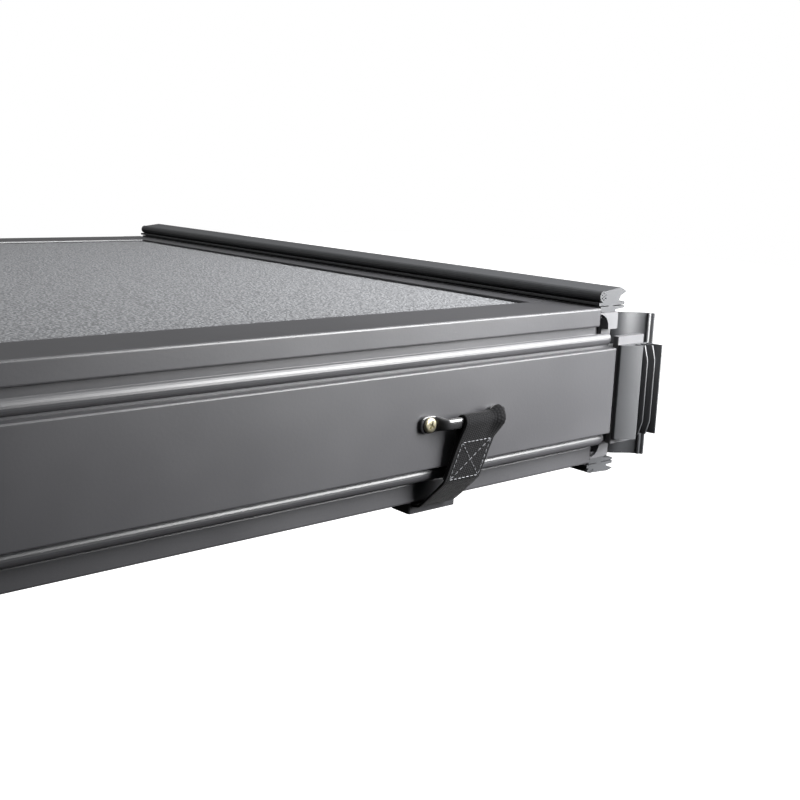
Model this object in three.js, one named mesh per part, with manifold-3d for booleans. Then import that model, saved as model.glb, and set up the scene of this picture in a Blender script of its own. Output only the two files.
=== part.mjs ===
// Hard tri-fold tonneau cover, folded at the cab end of the bed. Millimetres, +Z up, +Y towards the cab.
// The front panel lies at the bottom. The hinge plate stands at its rear edge and carries the middle panel,
// which lies upside down on top. The rear panel is folded in between, right way up.
// Everything is drawn in the hinge plate's coordinates (y = 0 on its outer face, z = 0 on its lower edge),
// and the finished group is moved so that the origin is under the middle of the front panel's cab end rail.
import * as THREE from "three";
import { mergeVertices } from "three/addons/utils/BufferGeometryUtils.js";
import Module from "manifold-3d";

const wasm = await Module();
wasm.setup();

// Driving dimensions
const panelWidth = 1600; // across the bed, over the frames
const panelLength = 560; // along the bed, one panel
const panelThickness = 21.6;
const plateHeight = 51; // room between the front and the middle panel
const plateDepth = 13;
const plateWeb = 2.5;
const plateFoot = 3;
const plateRib = 33; // height of the rib between its two chambers
const gap = 0.3; // between touching pieces
const foldGap = 1; // between the faces of two panels folded together

// Extruded rails
const wall = 2;
const railWidth = 39; // border seen beside the textured field
const sideRailWidth = 35.5;
const flange = 1.4; // lips that hold the sandwich board
const lipDepth = 10;
const cornerBlockWidth = 16.5;
const railFaceHeight = 11;
const railRecess = 3;
const skin = 1;

// Bead and socket hinges
const beadRadius = 2.4;
const beadClearance = 0.3;
const socketWall = 1.4;
const armThickness = 2;
const axisOffset = 4.5; // hinge axis to the panel's top skin, and to the plate's inner face
const faceGap = 0.5; // plate's inner face to the panel's end face
const socketOpenFrom = -30; // degrees
const socketOpenTo = 120;

// Side seals
const sealSeatDrop = 3;
const sealInset = 17.5;
const bulbRadius = 3.4;
const bulbU = 3.9; // bulb's centre, from the seal's inner edge and its seat
const bulbV = 9.5;
const sealPlate = 6; // height of the seal's flat part
const railSealSqueeze = 0.5; // the front panel's seals are pressed on the bed rails
const tSlotMouth = 6.1;
const tSlotWidth = 10.1;
const tSlotNeck = 1.2;
const tSlotDepth = 3.6;
const tSlotCentre = 8.75; // from the panel's outer edge

// Hinge plate ends
const endBlockRise = 6.5;
const endBlockReach = 26;
const endBlockNotch = 1.8; // set back beside the plate's end
const endBlockNotchDepth = 4.5;
const endTabDepth = 4; // of the block's ends beyond the plate's edges
const endSealStart = -3.5; // below the plate's lower edge
const endSealEnd = 1.8; // above its upper edge
const flapBack = 9.5; // its inner end behind the rails' faces
const flapShort = 0.6; // its ends stop short of the seals' seats
const flapThickness = 2.2;
const pocketWidth = 7.8; // pocket in the corner block beside the knuckle
const pocketDepth = 8;
const pocketTop = 17.8; // from the panel's top skin
const blockFront = 1.6; // closes the seal's slot
const blockFootDepth = 5; // set back like the rail below its face

// Strap and footman loop
const loopInset = 122.4; // plate's end to the loop's centre
const strapShift = 3; // the strap hangs towards the loop's outer end
const strapWidth = 25.4;
const webbing = 1.5;
const loopHeight = 24.2; // bar centre above the plate's lower edge
const strapClearance = 1.1; // between the strap and the loop's ramps
const loopRamp = 2.2; // from the foot to the bar, across the bed
const loopProud = 7.2; // bar centre in front of the plate
const barThickness = 3.2;
const loopBand = 9;
const loopFoot = 2;
const loopFootHalf = 5.4;
const barHeight = 5.6;
const screwRadius = 2.1;
const screwHeadRadius = 3.95;
const screwHeadHeight = 1.5;
const strapLean = 0.11; // sideways for each millimetre down
const buckleLength = 38;
const buckleRim = 3.8; // outside the webbing, each side
const buckleThickness = 6.4;
const buckleWall = 1.8;
const socketLength = 34;
const socketThickness = 10.5;
const socketGap = 3;
const sewnEnd = -6; // lower edge of the stitching
const tailBendY = 13.6; // where the strap turns under the front panel

// Front clamps and tailgate latch
const clampInset = 78; // panel edge to the stud
const studRadius = 4;
const studEngagement = 7.1; // stud's end above the panel's underside, clamp open
const throat = 20; // panel underside to the jaw's lip, open
const jawThickness = 9;
const jawWidth = 32;
const jawReach = 52;
const jawLip = 17;
const jawHeel = 24;
const knobRadius = 21;
const knobHeight = 16;
const knobBevel = 1.5;
const latchSetback = 28;
const latchWidth = 58;
const latchLength = 44;
const latchDepth = 15;
const boltWidth = 22;
const boltThickness = 7;
const boltProud = 11;
const boltTongue = 30;

// Sizes that follow from them
const edge = panelWidth / 2;
const plateEnd = edge - cornerBlockWidth;
const faceY = plateDepth + faceGap;
const farY = faceY + panelLength;
const axisY = plateDepth - axisOffset;
const topAxisZ = plateHeight + axisOffset;
const socketInner = beadRadius + beadClearance;
const socketOuter = socketInner + socketWall;
const sealSeat = panelThickness - sealSeatDrop;
const flapOverhang = sealSeat - flapShort;
const boardThickness = panelThickness - 2 * (flange + gap);
const panelSealStart = faceY + 2 * gap;
const sealFootStart = faceY + blockFront + gap;
const originY = farY - railWidth / 2;
const clampY = farY - railWidth / 2;
const studTop = studEngagement - panelThickness;
const tailTop = -panelThickness - 1.7;
const strapCentre = plateEnd - loopInset + strapShift;
const barHalf = strapWidth / 2 + strapShift + strapClearance;
const loopReach = barHalf + loopRamp + loopFootHalf; // half the distance between the two screws
const buckleWidth = strapWidth + 2 * buckleRim;

const radians = THREE.MathUtils.degToRad;

// Materials
const paint = (color, roughness) => new THREE.MeshStandardMaterial({ color, roughness, metalness: 0.2 });
const framePaint = paint(0x3a3a3c, 0.45);
const skinPaint = paint(0x303032, 0.5);
const texturedPaint = paint(0x55565a, 0.85);
const foam = paint(0xd9d6cc, 0.9);
const sealRubber = paint(0x2b2b2d, 0.7);
const blockPlastic = paint(0x4a4a4c, 0.6);
const strapNylon = paint(0x18181a, 0.95);
const bucklePlastic = paint(0x1c1c1e, 0.5);
const loopSteel = paint(0x202022, 0.4);
const zincSteel = new THREE.MeshStandardMaterial({ color: 0xb8b49c, roughness: 0.35, metalness: 0.9 });
const clampAluminium = new THREE.MeshStandardMaterial({ color: 0xa6a8aa, roughness: 0.4, metalness: 0.9 });

// Points on an arc, angles in degrees
function arc(cu, cv, radius, from, to, steps) {
  const points = [];
  for (let i = 0; i <= steps; i++) {
    const angle = radians(from + ((to - from) * i) / steps);
    points.push([cu + radius * Math.cos(angle), cv + radius * Math.sin(angle)]);
  }
  return points;
}

// A path through [u, v] points; a third number rounds that corner
function trace(path, points) {
  points.forEach(([u, v, radius], i) => {
    if (!radius) {
      if (i === 0) path.moveTo(u, v);
      else path.lineTo(u, v);
      return;
    }
    const corner = new THREE.Vector2(u, v);
    const trim = (neighbour) => {
      const side = new THREE.Vector2(neighbour[0], neighbour[1]).sub(corner);
      return side.setLength(Math.min(radius, side.length() / 2.2)).add(corner);
    };
    const before = trim(points[(i + points.length - 1) % points.length]);
    const after = trim(points[(i + 1) % points.length]);
    if (i === 0) path.moveTo(before.x, before.y);
    else path.lineTo(before.x, before.y);
    path.quadraticCurveTo(u, v, after.x, after.y);
  });
  path.closePath();
  return path;
}

// Outline and holes wind opposite ways
function outline(points, holes = []) {
  const area = (path) => THREE.ShapeUtils.area(path.map(([x, y]) => ({ x, y })));
  const wind = (path, sense) => (area(path) * sense > 0 ? path : [...path].reverse());
  const shape = trace(new THREE.Shape(), wind(points, 1));
  shape.holes = holes.map((hole) => trace(new THREE.Path(), wind(hole, -1)));
  return shape;
}

const rectangle = (u0, v0, u1, v1, radius = 0) => [
  [u0, v0, radius],
  [u1, v0, radius],
  [u1, v1, radius],
  [u0, v1, radius],
];

const flipV = (points, middle) => points.map(([u, v, radius]) => [u, 2 * middle - v, radius]);
const flipU = (points, middle) => points.map(([u, v, radius]) => [2 * middle - u, v, radius]);

// Extrusions along the three axes, from a profile in (y, z), (x, z) or (x, y)
const alongXAxes = new THREE.Matrix4().makeBasis(
  new THREE.Vector3(0, 1, 0),
  new THREE.Vector3(0, 0, 1),
  new THREE.Vector3(1, 0, 0),
);
const alongYAxes = new THREE.Matrix4().makeBasis(
  new THREE.Vector3(1, 0, 0),
  new THREE.Vector3(0, 0, 1),
  new THREE.Vector3(0, -1, 0),
);

function prism(shape, depth, corners = 3) {
  return new THREE.ExtrudeGeometry(shape, { depth, bevelEnabled: false, curveSegments: corners });
}

function alongX(name, shape, x0, x1, material) {
  const mesh = new THREE.Mesh(prism(shape, x1 - x0), material);
  mesh.name = name;
  mesh.setRotationFromMatrix(alongXAxes);
  mesh.position.x = x0;
  return mesh;
}

function alongY(name, shape, y0, y1, material) {
  const mesh = new THREE.Mesh(prism(shape, y1 - y0), material);
  mesh.name = name;
  mesh.setRotationFromMatrix(alongYAxes);
  mesh.position.y = y1;
  return mesh;
}

function alongZ(name, shape, z0, z1, material, corners = 3) {
  const mesh = new THREE.Mesh(prism(shape, z1 - z0, corners), material);
  mesh.name = name;
  mesh.position.z = z0;
  return mesh;
}

// Solid cutting and joining
function solid(mesh) {
  mesh.updateMatrix();
  const geometry = mesh.geometry.clone().applyMatrix4(mesh.matrix);
  geometry.deleteAttribute("normal");
  geometry.deleteAttribute("uv");
  const merged = mergeVertices(geometry, 1e-4);
  const corners = merged.index.array;
  const kept = [];
  for (let i = 0; i < corners.length; i += 3) {
    const [a, b, c] = corners.slice(i, i + 3);
    if (a !== b && b !== c && c !== a) kept.push(a, b, c);
  }
  return new wasm.Manifold(
    new wasm.Mesh({
      numProp: 3,
      vertProperties: new Float32Array(merged.attributes.position.array),
      triVerts: new Uint32Array(kept),
    }),
  );
}

function fromSolid(name, body, material) {
  const { vertProperties, triVerts } = body.getMesh();
  const geometry = new THREE.BufferGeometry();
  geometry.setAttribute("position", new THREE.BufferAttribute(new Float32Array(vertProperties), 3));
  geometry.setIndex(new THREE.BufferAttribute(new Uint32Array(triVerts), 1));
  geometry.computeVertexNormals();
  const mesh = new THREE.Mesh(geometry, material);
  mesh.name = name;
  return mesh;
}

function cut(name, mesh, tools, material) {
  const body = tools.reduce((left, tool) => left.subtract(solid(tool)), solid(mesh));
  return fromSolid(name, body, material);
}

// Profiles. A panel is drawn upside down, top skin at v = 0 and underside at v = panelThickness,
// with u = 0 on the rail's outer face and u growing into the panel.
const panelAxisU = faceY - axisY;

function hingeRailProfile() {
  const armTop = axisOffset + armThickness / 2;
  const armBottom = axisOffset - armThickness / 2;
  const armAngle = THREE.MathUtils.radToDeg(Math.asin(armThickness / 2 / beadRadius));
  const faceBottom = panelThickness - railFaceHeight;
  const points = [
    [0, panelThickness, 1.2],
    [0, faceBottom, 1],
    [railRecess, faceBottom, 0.5],
    [railRecess, armTop, 0.5],
    ...arc(-panelAxisU, axisOffset, beadRadius, armAngle, 360 - armAngle, 14),
    [0.9, armBottom, 0.3],
    [0, armBottom - 0.9],
    [0, 0, 0.6],
    ...channelProfile(railWidth),
  ];
  const chamber = rectangle(railRecess + wall, wall, railWidth - lipDepth - wall, panelThickness - wall, 1.7);
  return [points, [chamber]];
}

// The open side of every rail, from the top skin's lip to the underside's
function channelProfile(width) {
  return [
    [width, 0, 0.4],
    [width, flange, 0.3],
    [width - lipDepth, flange],
    [width - lipDepth, panelThickness - flange],
    [width, panelThickness - flange, 0.3],
    [width, panelThickness, 0.4],
  ];
}

// A slot for a seal's foot, cut into a face at height v, from u = centre + half to centre - half
function tSlotProfile(centre, v) {
  const mouth = tSlotMouth / 2;
  const width = tSlotWidth / 2;
  return [
    [centre - mouth, v],
    [centre - mouth, v - tSlotNeck],
    [centre - width, v - tSlotNeck],
    [centre - width, v - tSlotDepth],
    [centre + width, v - tSlotDepth],
    [centre + width, v - tSlotNeck],
    [centre + mouth, v - tSlotNeck],
    [centre + mouth, v],
  ];
}

function sideRailProfile() {
  const step = sealInset + 2 * gap;
  const points = [
    [0, 0, 1],
    ...channelProfile(sideRailWidth),
    [step, panelThickness, 0.4],
    [step, sealSeat],
    ...tSlotProfile(tSlotCentre, sealSeat).reverse(),
    [0, sealSeat, 0.6],
  ];
  const chamber = rectangle(wall, wall, sideRailWidth - lipDepth - wall, sealSeat - tSlotDepth - wall, 1.5);
  return [points, [chamber]];
}

function endRailProfile() {
  const points = [
    [0, 0, 1],
    ...channelProfile(railWidth),
    ...tSlotProfile(tSlotCentre, panelThickness).reverse(),
    [0, panelThickness, 0.8],
  ];
  const chamber = rectangle(wall, wall, railWidth - lipDepth - wall, panelThickness - tSlotDepth - wall, 1.5);
  return [points, [chamber]];
}

// Seal section, u = 0 at its inner edge and v = 0 on its seat, growing away from the panel
function sealPoints(squeeze) {
  const neck = tSlotMouth / 2 - gap;
  const head = tSlotWidth / 2 - gap;
  const centre = sealInset - tSlotCentre;
  const up = (v) => sealPlate + (v - sealPlate) * squeeze;
  return [
    [centre - head, -tSlotDepth + gap],
    [centre + head, -tSlotDepth + gap],
    [centre + head, -tSlotNeck - gap],
    [centre + neck, -tSlotNeck - gap],
    [centre + neck, gap],
    [15, gap],
    [15.5, 1.5],
    [23.5, 2.2, 0.5],
    [23.5, 3.6, 0.4],
    [13, 3.6],
    [13, 4.1],
    [23.5, 4.1, 0.4],
    [23.5, sealPlate, 0.5],
    [17.6, up(6.2), 0.8],
    [19.6, up(9.6)],
    [24.6, up(11.9), 0.4],
    [19.3, up(14.5), 0.6],
    ...arc(bulbU, bulbV, bulbRadius, 72, 262, 9).map(([u, v]) => [u, up(v)]),
    [2.4, sealPlate],
    [0, sealPlate, 0.4],
    [0, 4.3, 0.4],
    [8.5, 4.1],
    [8.5, 3.6],
    [1.6, 3.6, 0.4],
    [1.6, 1.5, 0.4],
    [3, gap],
    [centre - neck, gap],
    [centre - neck, -tSlotNeck - gap],
    [centre - head, -tSlotNeck - gap],
  ];
}

function bulbHoles(squeeze) {
  const up = (v) => sealPlate + (v - sealPlate) * squeeze;
  const hole = (cu, cv) => arc(cu, cv, 0.5, 0, 300, 5).map(([u, v]) => [u, up(v)]);
  const ring = arc(bulbU, bulbV, 1.85, 30, 330, 5).map(([u, v]) => hole(u, v));
  return [hole(bulbU, bulbV), ...ring];
}

// Turns a profile the panel's own way up; base is the height of the panel's top skin
function panelFrame(base, rightWayUp) {
  const toZ = (v) => (rightWayUp ? base - v : base + v);
  const place = ([points, holes = []], u0, uSign) => {
    const turn = (path) => path.map(([u, v, radius]) => [u0 + uSign * u, toZ(v), radius]);
    return outline(turn(points), holes.map(turn));
  };
  return { toZ, place };
}

// Sandwich board: two skins on a foam core, held in the rails' channels
function board(prefix, frame, y0, y1) {
  const halfWidth = edge - sideRailWidth + lipDepth - 2 * gap;
  const nearY = y0 + railWidth - lipDepth + 2 * gap;
  const endY = y1 - railWidth + lipDepth - 2 * gap;
  const layer = (name, v0, v1, material) => {
    const [z0, z1] = [frame.toZ(v0), frame.toZ(v1)].sort((a, b) => a - b);
    return alongZ(`${prefix}_${name}`, outline(rectangle(-halfWidth, nearY, halfWidth, endY)), z0, z1, material);
  };
  const bottom = flange + gap;
  const top = bottom + boardThickness;
  return [
    layer("top_skin", bottom, bottom + skin, skinPaint),
    layer("core", bottom + skin + gap, top - skin - gap, foam),
    layer("bottom_skin", top - skin, top, texturedPaint),
  ];
}

function sideRails(prefix, frame, y0, y1) {
  return [-1, 1].map((side) => {
    const profile = frame.place(sideRailProfile(), side * edge, -side);
    return alongY(`${prefix}_side_rail_${side < 0 ? "left" : "right"}`, profile, y0, y1, framePaint);
  });
}

// A corner block's closed front holds the seal's foot back to footStart
function sideSeals(prefix, frame, y0, y1, squeeze, footStart) {
  return [-1, 1].map((side) => {
    const raise = (path) => path.map(([u, v, radius]) => [u, v + sealSeat, radius]);
    const raised = [raise(sealPoints(squeeze)), bulbHoles(squeeze).map(raise)];
    const inner = side * (edge - sealInset);
    const name = `${prefix}_side_seal_${side < 0 ? "left" : "right"}`;
    const seal = alongY(name, frame.place(raised, inner, side), y0, y1, sealRubber);
    if (footStart <= y0) return seal;
    const foot = frame.place([rectangle(0, sealSeat - tSlotDepth, sealInset, sealSeat + gap / 2)], inner, side);
    return cut(name, seal, [alongY("foot", foot, y0 - 1, footStart, sealRubber)], sealRubber);
  });
}

// A seal across the cover's width in an end rail's slot
function endSeal(name, frame, outerY, inward, reach, squeeze) {
  const drop = panelThickness;
  const neck = tSlotMouth / 2 - gap;
  const head = tSlotWidth / 2 - gap;
  const up = (v) => drop + v * squeeze;
  const c = tSlotCentre;
  const points = [
    [c - head, drop - tSlotDepth + gap],
    [c + head, drop - tSlotDepth + gap],
    [c + head, drop - tSlotNeck - gap],
    [c + neck, drop - tSlotNeck - gap],
    [c + neck, drop + gap],
    [c + head + 1, drop + gap, 0.5],
    ...arc(c, 0, 5.2, -20, 200, 10).map(([u, v]) => [u, up(v + 5)]),
    [c - head - 1, drop + gap, 0.5],
    [c - neck, drop + gap],
    [c - neck, drop - tSlotNeck - gap],
    [c - head, drop - tSlotNeck - gap],
  ];
  const hollow = arc(c, 0, 3.6, 0, 330, 11).map(([u, v]) => [u, up(v + 5)]);
  const profile = frame.place([points, [hollow]], outerY, inward);
  return alongX(name, profile, -reach, reach, sealRubber);
}

// The block closes the hinge rail's end, carries the seal round the corner behind a closed front,
// and has a round-cornered pocket beside the hinge's knuckle
function cornerBlock(prefix, frame, side) {
  const name = `${prefix}_corner_block_${side < 0 ? "left" : "right"}`;
  const inner = side * (plateEnd + gap);
  const outer = side * edge;
  const section = [
    [0, 0, 1],
    [cornerBlockWidth - gap, 0, 0.4],
    [cornerBlockWidth - gap, sealSeat, 0.4],
    [0, sealSeat, 1.2],
  ];
  const body = alongY(name, frame.place([section], outer, -side), faceY, faceY + railWidth, blockPlastic);
  const slotPoints = [...tSlotProfile(tSlotCentre, sealSeat), [tSlotCentre, sealSeat + 1]];
  const slot = frame.place([slotPoints], outer, -side);
  const arch = arc(0, pocketTop - pocketWidth, pocketWidth, 0, 90, 6);
  const pocket = [[-1, -1], [pocketWidth, -1], ...arch, [-1, pocketTop]];
  const [x0, x1] = [inner, outer].sort((a, b) => a - b);
  const [z0, z1] = [-1, panelThickness - railFaceHeight - 2].map(frame.toZ).sort((a, b) => a - b);
  const foot = rectangle(faceY - 1, z0, faceY + blockFootDepth, z1, 1);
  return cut(
    name,
    body,
    [
      alongY("slot", slot, faceY + blockFront, faceY + railWidth + 1, blockPlastic),
      alongY("pocket", frame.place([pocket], inner, side), faceY - 1, faceY + pocketDepth, blockPlastic),
      alongX("foot", outline(foot), x0 - 1, x1 + 1, blockPlastic),
    ],
    blockPlastic,
  );
}

function frontPanel() {
  const frame = panelFrame(0, true);
  const group = new THREE.Group();
  const cabRailReach = edge - sideRailWidth - gap;
  const hingeRail = frame.place(hingeRailProfile(), faceY, 1);
  const cabRail = frame.place(endRailProfile(), farY, -1);
  const studs = [-1, 1].map((side) => {
    const hole = cylinderZ("stud_hole", studRadius + gap, -panelThickness - 1, -panelThickness / 2);
    hole.position.x = side * (edge - clampInset);
    hole.position.y = clampY;
    return hole;
  });
  group.add(
    alongX("front_hinge_rail", hingeRail, -plateEnd, plateEnd, framePaint),
    cut("front_cab_rail", alongX("rail", cabRail, -cabRailReach, cabRailReach, framePaint), studs, framePaint),
    ...sideRails("front", frame, faceY + railWidth + gap, farY),
    ...board("front", frame, faceY, farY),
    ...sideSeals("front", frame, panelSealStart, farY, railSealSqueeze, sealFootStart),
    endSeal("bulkhead_seal", frame, farY, -1, edge - clampInset - jawHeel, railSealSqueeze),
    cornerBlock("front", frame, -1),
    cornerBlock("front", frame, 1),
  );
  return group;
}

function middlePanel() {
  const frame = panelFrame(plateHeight, false);
  const group = new THREE.Group();
  const rearReach = edge - sideRailWidth - gap;
  group.add(
    alongX("middle_hinge_rail", frame.place(hingeRailProfile(), faceY, 1), -plateEnd, plateEnd, framePaint),
    alongX("middle_rear_rail", frame.place(hingeRailProfile(), farY, -1), -rearReach, rearReach, framePaint),
    ...sideRails("middle", frame, faceY + railWidth + gap, farY),
    ...board("middle", frame, faceY, farY),
    ...sideSeals("middle", frame, panelSealStart, farY, 1, sealFootStart),
    cornerBlock("middle", frame, -1),
    cornerBlock("middle", frame, 1),
  );
  return group;
}

// The rear panel lies right way up under the middle panel; its tailgate end is next to the hinge plate
const rearTop = plateHeight - foldGap;
const rearY0 = plateDepth + 2;
const rearSealStart = faceY + flapBack + foldGap;

function rearPanel() {
  const frame = panelFrame(rearTop, true);
  const group = new THREE.Group();
  const reach = edge - sideRailWidth - gap;
  group.add(
    alongX("rear_hinge_rail", frame.place(hingeRailProfile(), farY, -1), -reach, reach, framePaint),
    alongX("rear_tailgate_rail", frame.place(endRailProfile(), rearY0, 1), -reach, reach, framePaint),
    ...sideRails("rear", frame, rearY0, farY),
    ...board("rear", frame, rearY0, farY),
    ...sideSeals("rear", frame, rearSealStart, farY, 1, rearSealStart),
    endSeal("tailgate_seal", frame, rearY0, 1, reach - gap, 1),
    rearLink(),
    latchHousing(),
    latchBolt(),
  );
  return group;
}

// A socket and its neck, as points from one side of the neck round to the other.
// side +1 opens towards +Y; the neck leaves the ring between the two angles.
function socketRing(y, z, side, neckFrom, neckTo) {
  const ring = [
    ...arc(0, 0, socketOuter, neckFrom, socketOpenTo, 8),
    ...arc(0, 0, socketInner, socketOpenTo, 360 + socketOpenFrom, 14),
    ...arc(0, 0, socketOuter, 360 + socketOpenFrom, neckTo, 2),
  ];
  return ring.map(([u, v]) => [y + side * u, z + v]);
}

// The short double hinge that joins the middle and the rear panel
function rearLink() {
  const reach = edge - sideRailWidth - gap;
  const upper = plateHeight + axisOffset;
  const middle = plateHeight - foldGap / 2;
  const half = socketRing(farY + panelAxisU, upper, -1, 214, 300);
  const points = [...half, ...flipV(half, middle).reverse()];
  return alongX("rear_hinge_link", outline(points), -reach, reach, framePaint);
}

// Hinge plate: a hollow extrusion with a socket along each long edge
function hingePlate() {
  const ring = socketRing(axisY, topAxisZ, 1, 236, 304);
  const neckIn = ring[0][0];
  const neckOut = ring[ring.length - 1][0];
  const upper = [
    [0, plateHeight, 0.9],
    [neckIn, plateHeight],
    ...ring,
    [neckOut, plateHeight],
    [plateDepth, plateHeight, 0.6],
  ];
  const points = [...upper, ...flipV(upper, plateHeight / 2).reverse()];
  const chambers = [
    rectangle(plateWeb, plateFoot, plateDepth - plateWeb, plateRib - 1, 1.2),
    rectangle(plateWeb, plateRib + 1, plateDepth - plateWeb, plateHeight - plateFoot, 1.2),
  ];
  const mesh = alongX("hinge_plate", outline(points, chambers), -plateEnd, plateEnd, framePaint);
  return cut("hinge_plate", mesh, screwPlaces().map(screwHole), framePaint);
}

function endBlock(side) {
  const points = [
    [gap, endBlockNotchDepth],
    [endBlockNotch, endBlockNotchDepth, 0.5],
    [endBlockNotch, gap, 0.8],
    [endBlockReach, gap, 1],
    [endBlockReach, 6, 0.8],
    [22.6, 11.4, 0.8],
    [21, plateDepth - 0.5, 0.8],
    [gap, plateDepth - 0.5, 0.8],
  ];
  const placed = points.map(([u, v, radius]) => [side * (plateEnd + u), v, radius]);
  const name = `plate_end_block_${side < 0 ? "left" : "right"}`;
  const body = alongZ(name, outline(placed), -endBlockRise, plateHeight + endBlockRise, blockPlastic);
  const [x0, x1] = [plateEnd, plateEnd + endBlockReach + 1].map((x) => side * x).sort((a, b) => a - b);
  const behind = outline(rectangle(x0, endTabDepth, x1, plateDepth));
  const ends = [
    alongZ("lower", behind, -endBlockRise - 1, 0, blockPlastic),
    alongZ("upper", behind, plateHeight, plateHeight + endBlockRise + 1, blockPlastic),
  ];
  return cut(name, body, ends, blockPlastic);
}

// Finned seal on the plate's end, which meets the panels' side seals when the cover lies flat
function plateEndSeal(side) {
  const points = [
    [2, 0, 0.3],
    [2, -1.8, 0.3],
    [12.6, -8.4, 0.5],
    [14.6, -8.3, 0.4],
    [14.8, -5.4],
    [16.6, -10.2, 0.4],
    [18, -10.2, 0.4],
    [18.6, -5.6],
    [21.8, -11.4, 0.4],
    [23.4, -11.4, 0.4],
    [24.2, -5.8],
    [27, -12, 0.4],
    [28.6, -11.8, 0.4],
    [27.4, -3],
    [25.6, 0, 0.6],
  ];
  const placed = points.map(([u, v, radius]) => [side * (plateEnd + u), v, radius]);
  const name = `plate_end_seal_${side < 0 ? "left" : "right"}`;
  return alongZ(name, outline(placed), endSealStart, plateHeight + endSealEnd, sealRubber);
}

// Tall flap that covers the side gaps at both hinges
function cornerFlap(side) {
  const start = cornerBlockWidth + flapThickness + 2 * gap;
  const bend = new THREE.CubicBezierCurve(
    new THREE.Vector2(start, faceY + flapBack),
    new THREE.Vector2(start + 0.5, faceY - 1.5),
    new THREE.Vector2(31, faceY + 1.1),
    new THREE.Vector2(37, 2),
  );
  const steps = 12;
  const outerSide = [];
  const innerSide = [];
  for (let i = 0; i <= steps; i++) {
    const point = bend.getPoint(i / steps);
    const tangent = bend.getTangent(i / steps);
    outerSide.push([point.x, point.y]);
    innerSide.push([point.x + tangent.y * flapThickness, point.y - tangent.x * flapThickness]);
  }
  const points = [...outerSide, ...innerSide.reverse()];
  const placed = points.map(([u, v]) => [side * (plateEnd + u), v]);
  const name = `corner_flap_${side < 0 ? "left" : "right"}`;
  return alongZ(name, outline(placed), -flapOverhang, plateHeight + flapOverhang, sealRubber);
}

// Footman loops and their screws
function screwPlaces() {
  const names = ["outer", "inner"];
  return [-1, 1].flatMap((side) =>
    names.map((which, i) => ({
      name: `loop_screw_${side < 0 ? "left" : "right"}_${which}`,
      x: side * (plateEnd - loopInset) + side * (i === 0 ? 1 : -1) * loopReach,
    })),
  );
}

function cylinderZ(name, radius, z0, z1, sides = 20) {
  const geometry = new THREE.CylinderGeometry(radius, radius, z1 - z0, sides);
  const mesh = new THREE.Mesh(geometry, framePaint);
  mesh.name = name;
  mesh.rotation.x = Math.PI / 2;
  mesh.position.z = (z0 + z1) / 2;
  return mesh;
}

function screwHole({ x }) {
  const geometry = new THREE.CylinderGeometry(screwRadius + gap, screwRadius + gap, 8, 16);
  const mesh = new THREE.Mesh(geometry, framePaint);
  mesh.position.set(x, 0, loopHeight);
  return mesh;
}

function panScrew({ name, x }) {
  const crown = screwHeadRadius * 0.35;
  const profile = [
    [0, -screwHeadHeight],
    [crown, -screwHeadHeight],
    [screwHeadRadius * 0.75, -screwHeadHeight * 0.82],
    [screwHeadRadius, -screwHeadHeight * 0.35],
    [screwHeadRadius, 0],
    [screwRadius, 0],
    [screwRadius, 9],
    [screwRadius * 0.4, 11],
    [0, 11.4],
  ].map(([radius, y]) => new THREE.Vector2(radius, y));
  const turned = new THREE.Mesh(new THREE.LatheGeometry(profile, 20), zincSteel);
  const recess = [0, Math.PI / 2].map((turn) => {
    const slot = new THREE.Mesh(new THREE.BoxGeometry(3.6, 1.6, 0.8), zincSteel);
    slot.position.y = -screwHeadHeight;
    slot.rotation.y = turn + 0.5;
    return slot;
  });
  const mesh = cut(name, turned, recess, zincSteel);
  mesh.position.set(x, -loopFoot - 2 * gap, loopHeight);
  return mesh;
}

function footmanLoop(side) {
  const barFront = -loopProud - barThickness / 2;
  const barBack = -loopProud + barThickness / 2;
  const half = [
    [loopReach + loopFootHalf, -gap, 0.8],
    [loopReach + loopFootHalf, -loopFoot - gap, 0.8],
    [loopReach - loopFootHalf, -loopFoot - gap, 1],
    [barHalf, barFront, 1.6],
  ];
  const back = [
    [loopReach - loopFootHalf - 1.6, -gap, 0.8],
    [barHalf - 0.4, barBack, 0.8],
  ];
  const points = [...half, ...flipU(half, 0).reverse(), ...flipU(back, 0), ...[...back].reverse()];
  const centre = side * (plateEnd - loopInset);
  const placed = points.map(([u, v, radius]) => [centre + u, v, radius]);
  const name = `footman_loop_${side < 0 ? "left" : "right"}`;
  const band = alongZ(name, outline(placed), loopHeight - loopBand / 2, loopHeight + loopBand / 2, loopSteel);
  const waist = [-1, 1].map((end) => {
    const height = loopBand / 2 - barHeight / 2;
    const box = new THREE.Mesh(new THREE.BoxGeometry(2 * barHalf, 8, height + 1), loopSteel);
    box.position.set(centre, barFront, loopHeight + end * (barHeight / 2 + height / 2 + 0.5));
    return box;
  });
  return cut(name, band, [...waist, ...screwPlaces().map(screwHole)], loopSteel);
}

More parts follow.
